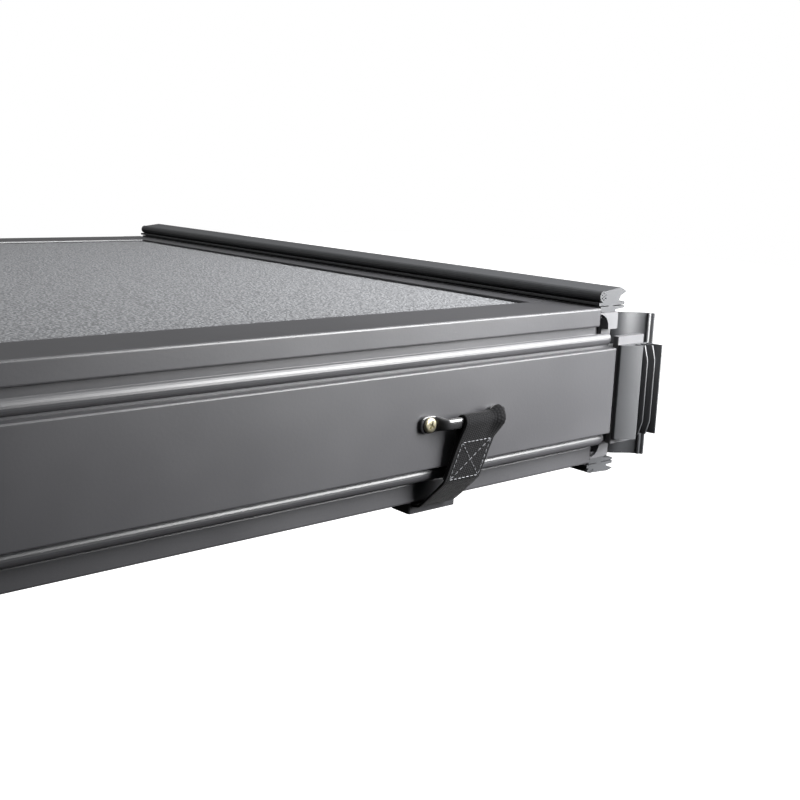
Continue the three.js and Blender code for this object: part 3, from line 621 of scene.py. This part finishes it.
@dataclass
class StorageStrap:
    """Webbing sewn round the loop's bar, then led under the front panel to its buckle."""

    side: Side
    plate: PlateFrame
    width: float = 25.4
    thickness: float = 1.3
    bar_y: float = -7.2
    bar_z: float = 24.2
    turn_radius: float = 3.6
    layer_gap: float = 0.12
    shift: float = 5.6
    lean: float = 0.21
    bunch: float = 3.2
    bunch_start: float = 0.45
    bunch_foot: float = 14.0
    sewn_top: float = 15.0
    sewn_bottom: float = -5.0
    seam_inset: float = 2.6
    stitch_length: float = 2.3
    stitch_gap: float = 0.8
    thread: float = 0.5
    thread_sunk: float = 0.12
    step: float = 0.8
    crown: float = 0.12
    ripple: float = 0.1
    hang_from: tuple[float, float] = (-6.7, 12.8)
    hang_to: tuple[float, float] = (-3.1, -6.2)
    hang_way: tuple[float, float] = (3.5, -18.5)
    tail: tuple[tuple[float, float], ...] = ((-2.2, -8.9), (10.4, -22.5), (13.0, -24.0), (18.6, -24.0))
    bend_from: float = 11.2
    bend_to: float = 17.0
    bend_z: float = -23.6

    def route(self) -> list[tuple[float, float]]:
        """The strap's middle line from the sewn-in end over the bar to the buckle, as (y, z)."""
        half_pair = (self.thickness + self.layer_gap) / 2
        upper = Vector(self.hang_from)
        lower = Vector(self.hang_to)
        down = Vector(self.hang_way).normalized()
        out = Vector((down.y, -down.x))
        ring = []
        for i in range(11):
            angle = math.radians(-40 + 25 * i)
            y = self.bar_y + self.turn_radius * math.cos(angle)
            z = self.bar_z + self.turn_radius * math.sin(angle)
            ring.append((y, z))
        corners = [
            tuple(lower - out * half_pair),
            tuple(upper - out * half_pair),
            *ring,
            tuple(upper + out * half_pair),
            tuple(lower + out * half_pair),
            *self.tail,
        ]
        for _ in range(3):
            cut = [corners[0]]
            for (y0, z0), (y1, z1) in zip(corners, corners[1:]):
                cut.append((0.75 * y0 + 0.25 * y1, 0.75 * z0 + 0.25 * z1))
                cut.append((0.25 * y0 + 0.75 * y1, 0.25 * z0 + 0.75 * z1))
            corners = [*cut, corners[-1]]
        return corners

    def __post_init__(self) -> None:
        """Measures the route."""
        points = self.route()
        self.points = points
        self.lengths = [0.0]
        for (y0, z0), (y1, z1) in zip(points, points[1:]):
            self.lengths.append(self.lengths[-1] + math.hypot(y1 - y0, z1 - z0))
        low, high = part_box(f"footman_loop_{self.side.label}")
        self.centre = (low.x + high.x) / 2 / MM

    def place(self, u: float, s: float, lift: float) -> Vector:
        """A point on the strap.

        Args:
            u: across the strap from its middle.
            s: along the route from the sewn-in end.
            lift: out from the middle line, away from the bar.

        Returns:
            The place in the row frame, in metres.
        """
        i = max(k for k, length in enumerate(self.lengths[:-1]) if length <= s)
        (y0, z0), (y1, z1) = self.points[i], self.points[i + 1]
        span = self.lengths[i + 1] - self.lengths[i]
        share = (s - self.lengths[i]) / span
        y = y0 + (y1 - y0) * share
        z = z0 + (z1 - z0) * share
        out_y = (z1 - z0) / span
        out_z = -(y1 - y0) / span
        x = self.centre + u + self.side.value * (self.shift + self.lean * (z - self.bar_z))
        lift += self.bunched(u, y, z)
        return self.plate.point(x, y + out_y * lift, z + out_z * lift)

    def bunched(self, u: float, y: float, z: float) -> float:
        """How far the outer edge stands up, where it rides on the loop's ramp."""
        outward = self.side.value * u / (self.width / 2)
        share = min(1.0, max(0.0, (outward - self.bunch_start) / (1 - self.bunch_start)))
        height = min(1.0, max(0.0, (z - self.bunch_foot) / (self.bar_z - self.bunch_foot)))
        front = min(1.0, max(0.0, (self.bar_y + 2.0 - y) / 2.0))
        return self.bunch * share**2 * (3 - 2 * share) * height * front

    def band(self) -> bmesh.types.BMesh:
        """The webbing as one long folded band with round edges."""
        total = self.lengths[-1]
        rows = round(total / self.step)
        shape = bmesh.new()
        weave = shape.loops.layers.uv.new("weave")
        bmesh.ops.create_grid(shape, x_segments=12, y_segments=rows, size=0.5)
        half = self.width / 2
        for face in shape.faces:
            for loop in face.loops:
                loop[weave].uv = ((loop.vert.co.x + 0.5) * self.width, (loop.vert.co.y + 0.5) * total)
        for vert in shape.verts:
            u = vert.co.x * 2
            s = (vert.co.y + 0.5) * total
            wave = self.ripple * math.sin(s * 0.31 + u * 1.7) * (1 - abs(u))
            edge = -self.crown * u**4 + wave
            vert.co = self.place(u * half, min(s, total - 1e-6), edge)
        return shape

    def stitch_lines(self) -> list[tuple[tuple[float, float], tuple[float, float]]]:
        """The seam's lines as pairs of (u, s): a box and the cross inside it."""
        top = self.lengths[0]
        bottom = self.lengths[0]
        highest = max(range(len(self.points)), key=lambda k: self.points[k][1])
        for k in range(highest, len(self.points) - 1):
            z0, z1 = self.points[k][1], self.points[k + 1][1]
            if z0 >= self.sewn_top > z1:
                top = self.lengths[k + 1]
            if z0 >= self.sewn_bottom > z1:
                bottom = self.lengths[k + 1]
        u = self.width / 2 - self.seam_inset
        corners = [(-u, top), (u, top), (u, bottom), (-u, bottom)]
        box = list(zip(corners, [*corners[1:], corners[0]]))
        return [*box, (corners[0], corners[2]), (corners[1], corners[3])]

    def stitches(self) -> bmesh.types.BMesh:
        """Every stitch as a short bead of thread lying on the front layer."""
        shape = bmesh.new()
        lift = self.thickness / 2 + self.thread * self.thread_sunk
        for (u0, s0), (u1, s1) in self.stitch_lines():
            length = math.hypot(u1 - u0, s1 - s0)
            count = max(2, round(length / (self.stitch_length + self.stitch_gap)))
            pitch = 1 / count
            reach = self.stitch_length / 2 / length
            for i in range(count):
                middle = (i + 0.5) * pitch
                ends = [
                    self.place(u0 + (u1 - u0) * t, s0 + (s1 - s0) * t, lift)
                    for t in (middle - reach, middle + reach)
                ]
                run = ends[1] - ends[0]
                turn = run.to_track_quat("Z", "Y").to_matrix().to_4x4()
                size = Matrix.Diagonal((self.thread * MM, self.thread * MM, run.length, 1))
                spot = Matrix.Translation((ends[0] + ends[1]) / 2)
                bmesh.ops.create_uvsphere(
                    shape, u_segments=6, v_segments=5, radius=0.5, matrix=spot @ turn @ size
                )
        return shape

    def build(self, paints: Paints) -> None:
        """Makes the webbing and its stitching."""
        label = self.side.label
        body = f"strap_{label}"
        band = make_piece(f"webbing_{label}", self.band(), paints.webbing, body, 60)
        wall = band.modifiers.new("thickness", "SOLIDIFY")
        wall.thickness = self.thickness * MM
        wall.offset = 0.0
        wall.use_even_offset = True
        edge = band.modifiers.new("edge", "BEVEL")
        edge.width = self.thickness * 0.35 * MM
        edge.segments = 2
        edge.limit_method = "ANGLE"
        edge.angle_limit = math.radians(60)
        bake_modifiers(band)
        band.parent = None
        start = self.plate.point(self.centre, self.bend_from, self.bend_z)
        end = self.plate.point(self.centre, self.bend_to, self.bend_z)
        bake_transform(band)
        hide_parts(f"strap_webbing_{label}")
        make_piece(f"stitching_{label}", self.stitches(), paints.thread, body, 80)


@dataclass
class FootmanLoop:
    """A pressed steel loop: two flat feet with clipped corners that rise and turn into a round bar."""

    side: Side
    plate: PlateFrame
    segments: int = 20

    def sections(self) -> list[tuple[float, float, float, float, float]]:
        """Sections from the foot's tip to the bar's middle: x, y, height, thickness and squareness."""
        return [
            (29.8, -1.3, 4.6, 1.5, 5.0),
            (29.2, -1.3, 5.8, 2.0, 6.0),
            (27.4, -1.3, 9.0, 2.1, 7.0),
            (22.8, -1.3, 9.0, 2.1, 7.0),
            (20.6, -1.35, 8.8, 2.2, 6.0),
            (19.2, -2.1, 8.0, 2.5, 4.0),
            (18.1, -4.2, 6.8, 2.9, 3.0),
            (17.0, -6.0, 6.1, 3.2, 2.6),
            (15.6, -7.0, 5.9, 3.3, 2.4),
            (13.6, -7.2, 5.8, 3.3, 2.4),
        ]

    def ring(self, shape: bmesh.types.BMesh, centre: Vector, along: Vector, size: tuple) -> list:
        """Adds one rounded section.

        Args:
            shape: the bmesh.
            centre: the section's middle, in metres.
            along: the loop's direction there.
            size: height, thickness and squareness.

        Returns:
            The section's edges.
        """
        height, thickness, square = size
        made = bmesh.ops.create_circle(shape, segments=self.segments, radius=1.0)["verts"]
        up = Vector((0, 0, 1))
        out = along.cross(up).normalized()
        for vert in made:
            c, s = vert.co.x, vert.co.y
            wide = math.copysign(abs(c) ** (2 / square), c) * thickness / 2 * MM
            tall = math.copysign(abs(s) ** (2 / square), s) * height / 2 * MM
            vert.co = centre + out * wide + up * tall
        return list({edge for vert in made for edge in vert.link_edges})

    def build(self, paints: Paints) -> None:
        """Makes the loop."""
        low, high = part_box(f"footman_loop_{self.side.label}")
        centre = (low.x + high.x) / 2 / MM
        bar_z = (low.z + high.z) / 2 / MM - self.plate.lower_z
        half = self.sections()
        stations = half + [(-x, *rest) for x, *rest in reversed(half)]
        shape = bmesh.new()
        rings = []
        for i, (x, y, *size) in enumerate(stations):
            before = stations[max(i - 1, 0)]
            after = stations[min(i + 1, len(stations) - 1)]
            along = Vector((after[0] - before[0], after[1] - before[1], 0)).normalized()
            rings.append(self.ring(shape, self.plate.point(centre + x, y, bar_z), along, tuple(size)))
        for first, second in zip(rings, rings[1:]):
            bmesh.ops.bridge_loops(shape, edges=first + second)
        for end in (rings[0], rings[-1]):
            bmesh.ops.contextual_create(shape, geom=end)
        bmesh.ops.recalc_face_normals(shape, faces=shape.faces)
        label = self.side.label
        loop = make_piece(f"footman_bar_{label}", shape, paints.loop_coat, "hinge_plate", 50)
        round_off = loop.modifiers.new("smooth", "SUBSURF")
        round_off.levels = 1
        round_off.render_levels = 1
        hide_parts(f"footman_loop_{label}")


@dataclass
class PanScrew:
    """A zinc-plated pan-head screw with a cross recess."""

    node: str
    plate: PlateFrame
    head_radius: float = 3.95
    head_height: float = 1.5
    shank_radius: float = 2.0
    shank_length: float = 9.0
    recess_width: float = 1.35
    recess_span: float = 5.0
    recess_depth: float = 1.1
    recess_taper: float = 0.62
    turn: float = 28.0
    steps: int = 40

    def build(self, paints: Paints) -> None:
        """Makes the screw, its head towards the tailgate."""
        low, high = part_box(self.node)
        middle = (low + high) / 2
        seat = low.y + self.head_height * MM
        profile = [
            (0.0, -self.head_height),
            (2.6, -1.46),
            (3.3, -1.3),
            (3.75, -0.95),
            (self.head_radius, -0.45),
            (3.9, 0.0),
            (self.shank_radius, 0.0),
            (self.shank_radius, self.shank_length),
            (0.0, self.shank_length + self.shank_radius),
        ]
        shape = spun(profile, Vector((0, 1, 0)), self.steps)
        bmesh.ops.translate(shape, verts=shape.verts, vec=(middle.x, seat, middle.z))
        screw = make_piece(self.node + "_detail", shape, paints.zinc, "hinge_plate", 35)
        self.cut_recess(screw, Vector((middle.x, low.y, middle.z)))
        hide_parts(self.node)

    def cut_recess(self, screw: bpy.types.Object, face: Vector) -> None:
        """Cuts the cross recess.

        Args:
            screw: the screw.
            face: the middle of the head's outer face.
        """
        cross = bmesh.new()
        for quarter in range(2):
            arm = bmesh.ops.create_cube(cross, size=1.0)["verts"]
            lengths = Vector((self.recess_span, 2 * self.recess_depth, self.recess_width)) * MM
            size = Matrix.Diagonal((*lengths, 1))
            spin = Matrix.Rotation(math.radians(self.turn + 90 * quarter), 4, "Y")
            bmesh.ops.transform(cross, matrix=Matrix.Translation(face) @ spin @ size, verts=arm)
            for vert in arm:
                if vert.co.y > face.y:
                    keep_depth = Vector((0, (1 - self.recess_taper) * (vert.co.y - face.y), 0))
                    vert.co = face + (vert.co - face) * self.recess_taper + keep_depth
        tool = place_in_scene("recess", mesh_of("recess", cross))
        cutter = screw.modifiers.new("recess", "BOOLEAN")
        cutter.operation = "DIFFERENCE"
        cutter.object = tool
        cutter.solver = "EXACT"
        cutter.use_self = True
        bake_modifiers(screw)
        bpy.data.objects.remove(tool)
        screw.data.set_sharp_from_angle(angle=math.radians(35))


@dataclass(frozen=True)
class Fin:
    """One thin fin of the end seal, in millimetres from the plate's end and its outer face."""

    root: float
    tip: float
    reach: float
    trim: float
    low: float = -1.3
    high: float = 52.4


@dataclass
class EndSeal:
    """The finned seal on the plate's end: one broad slanted lip and three thin fins."""

    side: Side
    plate: PlateFrame
    low_z: float = -3.4
    high_z: float = 52.6
    root_y: float = -1.4
    fin_foot: float = 1.7
    fin_tip: float = 0.9
    trim_run: float = 8.5
    fins: tuple[Fin, ...] = (
        Fin(15.4, 17.2, -10.2, 2.4),
        Fin(20.4, 22.6, -11.3, 2.2),
        Fin(25.4, 28.0, -11.8, 0.0),
    )

    def flat(self, points: list[tuple[float, float]], z: float) -> list[Vector]:
        """Corners in the plate's coordinates, mirrored for the left end."""
        return [self.plate.point(self.side.value * (self.plate.end_x + u), y, z) for u, y in points]

    def build(self, paints: Paints) -> None:
        """Makes the seal."""
        rise = Vector((0, 0, (self.high_z - self.low_z) * MM))
        shape = bmesh.new()
        lip = [
            (2.0, 0.0),
            (2.0, -2.0),
            (2.6, -2.6),
            (12.4, -8.5),
            (13.4, -8.7),
            (14.5, -8.2),
            (14.4, -7.0),
            (13.2, -7.0),
            (5.0, -2.2),
            (5.0, -1.8),
            (27.3, -1.8),
            (27.3, 0.0),
        ]
        prism(shape, self.flat(lip, self.low_z), rise)
        for fin in self.fins:
            mesh = self.fin_mesh(fin)
            shape.from_mesh(mesh)
            bpy.data.meshes.remove(mesh)
        label = self.side.label
        seal = make_piece(f"end_seal_{label}", shape, paints.rubber, "hinge_plate", 30)
        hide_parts(f"plate_end_seal_{label}")

    def fin_mesh(self, fin: Fin) -> bpy.types.Mesh:
        """Makes one fin with rounded edges and its outer corners trimmed.

        Args:
            fin: the fin's sizes.

        Returns:
            Its mesh, in the row frame.
        """
        shape = bmesh.new()
        outline = [
            (fin.root, self.root_y),
            (fin.tip - self.fin_tip / 2, fin.reach),
            (fin.tip + self.fin_tip / 2, fin.reach),
            (fin.root + self.fin_foot, self.root_y),
        ]
        prism(shape, self.flat(outline, fin.low), Vector((0, 0, (fin.high - fin.low) * MM)))
        if fin.trim:
            for z, sense in ((fin.high, 1), (fin.low, -1)):
                self.trim_end(shape, fin, z, sense)
        soften(shape, 0.25 * MM)
        return mesh_of("fin", shape)

    def trim_end(self, shape: bmesh.types.BMesh, fin: Fin, z: float, sense: int) -> None:
        """Trims a fin's outer corner at one end.

        Args:
            shape: the fin's mesh.
            fin: its sizes.
            z: the end's height.
            sense: +1 for the upper end, -1 for the lower.
        """
        inside = fin.reach + fin.trim
        corner = self.plate.point(self.side.value * (self.plate.end_x + fin.root), inside, z)
        normal = Vector((0, -self.trim_run, sense * fin.trim)).normalized()
        bmesh.ops.bisect_plane(
            shape,
            geom=[*shape.verts, *shape.edges, *shape.faces],
            plane_co=corner,
            plane_no=normal,
            clear_outer=True,
        )
        rim = [edge for edge in shape.edges if edge.is_boundary]
        bmesh.ops.holes_fill(shape, edges=rim)


@dataclass
class CornerFlap:
    """The tall rubber flap that wraps the plate's end and hides the gaps at both hinges."""

    side: Side
    plate: PlateFrame
    thickness: float = 2.2
    ridge: float = 0.9
    ridge_from: float = 0.89
    ridge_to: float = 0.93
    bend: tuple[tuple[float, float], ...] = ((19.3, 23.0), (19.8, 12.0), (31.0, 14.6), (37.0, 2.0))
    columns: int = 40

    def build(self, paints: Paints) -> None:
        """Makes the flap from its bent section."""
        label = self.side.label
        low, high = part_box(f"corner_flap_{label}")
        start, first, second, end = (Vector(corner) for corner in self.bend)
        outer = []
        inner = []
        for i in range(self.columns + 1):
            t = i / self.columns
            back = 1 - t
            spot = start * back**3 + first * 3 * t * back**2 + second * 3 * t**2 * back + end * t**3
            run = (first - start) * back**2 + (second - first) * 2 * t * back + (end - second) * t**2
            run.normalize()
            side_way = Vector((run.y, -run.x))
            ridge = self.ridge if self.ridge_from < t < self.ridge_to else 0.0
            outer.append(spot)
            inner.append(spot + side_way * (self.thickness + ridge))
        points = [*outer, *reversed(inner)]
        base = low.z
        corners = []
        for u, y in points:
            spot = self.plate.point(self.side.value * (self.plate.end_x + u), y, 0)
            corners.append(Vector((spot.x, spot.y, base)))
        shape = bmesh.new()
        prism(shape, corners, Vector((0, 0, high.z - low.z)))
        soften(shape, 0.3 * MM, 50.0)
        flap = make_piece(f"hinge_flap_{label}", shape, paints.rubber, "hinge_plate", 30)
        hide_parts(f"corner_flap_{label}")


@dataclass
class ClampKnob:
    """A lobed hand knob on a threaded stud."""

    side: Side
    lobes: int = 6
    radius: float = 20.0
    lobe_depth: float = 1.3
    height: float = 16.0
    stud_radius: float = 3.9
    thread_depth: float = 0.45
    thread_pitch: float = 1.5
    thread_start: float = 2.0
    thread_short: float = 4.0
    stud_sunk: float = 1.0
    tip_chamfer: float = 1.0
    rounding: float = 2.2
    rim_steps: int = 96
    stud_steps: int = 24

    def build(self, paints: Paints) -> None:
        """Makes the knob and its stud."""
        label = self.side.label
        low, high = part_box(f"clamp_knob_{label}")
        centre = (low + high) / 2
        shape = bmesh.new()
        disc = bmesh.ops.create_circle(
            shape, cap_ends=True, segments=self.rim_steps, radius=self.radius * MM
        )
        for vert in disc["verts"]:
            angle = math.atan2(vert.co.y, vert.co.x)
            grow = 1 + self.lobe_depth / self.radius * math.cos(self.lobes * angle)
            vert.co *= grow
        face = shape.faces[:]
        grown = bmesh.ops.extrude_face_region(shape, geom=face)["geom"]
        top = [item for item in grown if isinstance(item, bmesh.types.BMVert)]
        bmesh.ops.translate(shape, verts=top, vec=(0, 0, self.height * MM))
        soften(shape, self.rounding * MM, 50.0, 4)
        bmesh.ops.translate(shape, verts=shape.verts, vec=(centre.x, centre.y, low.z))
        body = f"clamp_knob_{label}"
        knob = make_piece(f"hand_knob_{label}", shape, paints.acetal, body, 30)
        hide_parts(f"clamp_knob_{label}")
        foot = low.z + (self.height - self.stud_sunk) * MM
        self.build_stud(paints, Vector((centre.x, centre.y, foot)), high.z)

    def build_stud(self, paints: Paints, base: Vector, top: float) -> None:
        """Makes the stud.

        Args:
            paints: the finishes.
            base: the stud's foot.
            top: the height of its tip, in metres.
        """
        length = (top - base.z) / MM
        turns = int((length - self.thread_short) / self.thread_pitch)
        profile = [(0.0, 0.0), (self.stud_radius, 0.0), (self.stud_radius, self.thread_start)]
        for i in range(turns):
            z = self.thread_start + i * self.thread_pitch
            profile += [
                (self.stud_radius - self.thread_depth, z + self.thread_pitch * 0.4),
                (self.stud_radius, z + self.thread_pitch * 0.9),
            ]
        profile += [(self.stud_radius - self.tip_chamfer, length), (0.0, length)]
        shape = spun(profile, Vector((0, 0, 1)), self.stud_steps)
        bmesh.ops.translate(shape, verts=shape.verts, vec=base)
        label = self.side.label
        make_piece(f"clamp_stud_{label}", shape, paints.zinc, f"clamp_knob_{label}", 30)


@dataclass
class CarriedParts:
    """The CAD parts that keep their shape, each with its finish."""

    def finish_of(self, node: str, paints: Paints) -> bpy.types.Material:
        """Picks a node's finish from its name."""
        words = {
            "top_skin": paints.sheet_coat,
            "bottom_skin": paints.pebble,
            "core": paints.foam,
            "seal": paints.rubber,
            "flap": paints.rubber,
            "block": paints.block,
            "buckle": paints.acetal,
            "webbing": paints.webbing,
            "jaw": paints.cast,
            "housing": paints.cast,
            "bolt": paints.zinc,
            "screw": paints.zinc,
            "knob": paints.acetal,
            "footman": paints.loop_coat,
        }
        for word, material in words.items():
            if word in node:
                return material
        return paints.frame_coat

    def build(self, paints: Paints) -> None:
        """Dresses every CAD node."""
        for name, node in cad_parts.items():
            dress(node, self.finish_of(name, paints))
        log.info("%d CAD parts dressed", len(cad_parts))


@dataclass
class Studio:
    """Camera, pale floor and soft light."""

    eye: tuple[float, float, float] = (0.2707, -0.9528, 0.1741)
    heading: float = 41.1
    pitch: float = -12.15
    roll: float = 2.25
    lens: float = 50.0
    sensor: float = 36.0
    near: float = 0.01
    floor_drop: float = 1.5
    floor_size: float = 40.0
    sky_seen: float = 1.0
    sky_high: float = 0.33
    sky_low: float = 0.02
    sun_strength: float = 1.1
    floor_glow: float = 0.8
    sun_angle: float = 50.0
    # name, place, target, size, watts and, where it is narrow, the beam's angle
    softboxes: tuple[tuple, ...] = (
        ("right_softbox", Vector((1.15, -1.0, 0.4)), Vector((1.15, -0.2, 0.0)), (0.7, 0.6), 40, 130),
        ("front_overhead_softbox", Vector((0.2, -1.3, 1.6)), Vector((0.2, -0.5, 0.05)), (2.4, 0.7), 7),
        ("back_left_softbox", Vector((-2.4, 3.0, 1.0)), Vector((0.0, -0.5, 0.1)), (1.8, 1.0), 7),
    )

    def camera(self) -> None:
        """Sets the camera close to the plate's right end, looking across the cover."""
        data = bpy.data.cameras.new("camera")
        data.lens = self.lens
        data.sensor_width = self.sensor
        data.clip_start = self.near
        camera = place_in_scene("camera", data)
        turn = Matrix.Rotation(math.radians(-self.heading), 4, "Z")
        tip = Matrix.Rotation(math.radians(90 + self.pitch), 4, "X")
        lean = Matrix.Rotation(math.radians(self.roll), 4, "Z")
        camera.matrix_world = Matrix.Translation(self.eye) @ turn @ tip @ lean
        bpy.context.scene.camera = camera

    def floor(self) -> None:
        """Lays a plain pale floor below the cover."""
        shape = bmesh.new()
        bmesh.ops.create_grid(shape, x_segments=1, y_segments=1, size=self.floor_size / 2)
        bmesh.ops.translate(shape, verts=shape.verts, vec=(0, 0, cad_box[0].z - self.floor_drop))
        floor = place_in_scene("floor", mesh_of("floor", shape))
        material = bpy.data.materials.new("pale_floor")
        material.use_nodes = True
        shader = material.node_tree.nodes["Principled BSDF"]
        shader.inputs["Base Color"].default_value = linear("#f4f4f4")
        shader.inputs["Roughness"].default_value = 0.9
        shader.inputs["Emission Color"].default_value = linear("#ffffff")
        shader.inputs["Emission Strength"].default_value = self.floor_glow
        dress(floor, material)
        floor.visible_diffuse = False
        floor.visible_glossy = False

    def lamp(
        self,
        name: str,
        place: Vector,
        target: Vector,
        size: tuple[float, float],
        power: float,
        spread: float = 180.0,
    ) -> None:
        """Adds a soft rectangular light.

        Args:
            name: the light's name.
            place: where it stands, in metres.
            target: what it faces.
            size: width and height, in metres.
            power: in watts.
            spread: full angle of the beam, in degrees.
        """
        data = bpy.data.lights.new(name, "AREA")
        data.shape = "RECTANGLE"
        data.size, data.size_y = size
        data.energy = power
        data.spread = math.radians(spread)
        light = place_in_scene(name, data)
        light.visible_camera = False
        light.location = place
        light.rotation_mode = "QUATERNION"
        light.rotation_quaternion = (target - place).to_track_quat("-Z", "Y")

    def light(self) -> None:
        """Sets the white surroundings and the soft boxes."""
        world = bpy.data.worlds.new("surroundings")
        bpy.context.scene.world = world
        world.use_nodes = True
        tree = world.node_tree
        tree.nodes.clear()
        seen = add(tree, "ShaderNodeLightPath")
        way = add(tree, "ShaderNodeTexCoord").outputs["Generated"]
        height = add(tree, "ShaderNodeSeparateXYZ", {"Vector": way})
        dome = add(
            tree,
            "ShaderNodeMapRange",
            {
                "Value": height.outputs["Z"],
                "From Min": -0.1,
                "From Max": 0.5,
                "To Min": self.sky_low,
                "To Max": self.sky_high,
            },
            interpolation_type="SMOOTHSTEP",
        )
        bright = add(
            tree,
            "ShaderNodeMix",
            {0: seen.outputs["Is Camera Ray"], 2: dome.outputs["Result"], 3: self.sky_seen},
            data_type="FLOAT",
        )
        shine = add(tree, "ShaderNodeBackground", {"Color": linear("#ffffff"), "Strength": bright.outputs[0]})
        add(tree, "ShaderNodeOutputWorld", {"Surface": shine.outputs["Background"]})
        for softbox in self.softboxes:
            self.lamp(*softbox)
        data = bpy.data.lights.new("sky_sun", "SUN")
        data.energy = self.sun_strength
        data.angle = math.radians(self.sun_angle)
        place_in_scene("sky_sun", data)

    def build(self) -> None:
        """Sets the whole studio."""
        self.camera()
        self.floor()
        self.light()
        bpy.context.scene.view_settings.view_transform = "Standard"
        log.info("studio set")


def main() -> None:
    """Builds the studio, the finishes and every piece."""
    logging.basicConfig(level=logging.INFO, format="%(message)s")
    Studio().build()
    paints = Paints()
    plate = PlateFrame()
    CarriedParts().build(paints)
    for side in Side:
        StorageStrap(side, plate).build(paints)
        FootmanLoop(side, plate).build(paints)
        for which in ("outer", "inner"):
            PanScrew(f"loop_screw_{side.label}_{which}", plate).build(paints)
        EndSeal(side, plate).build(paints)
        CornerFlap(side, plate).build(paints)
        ClampKnob(side).build(paints)


if __name__ == "__main__":
    main()
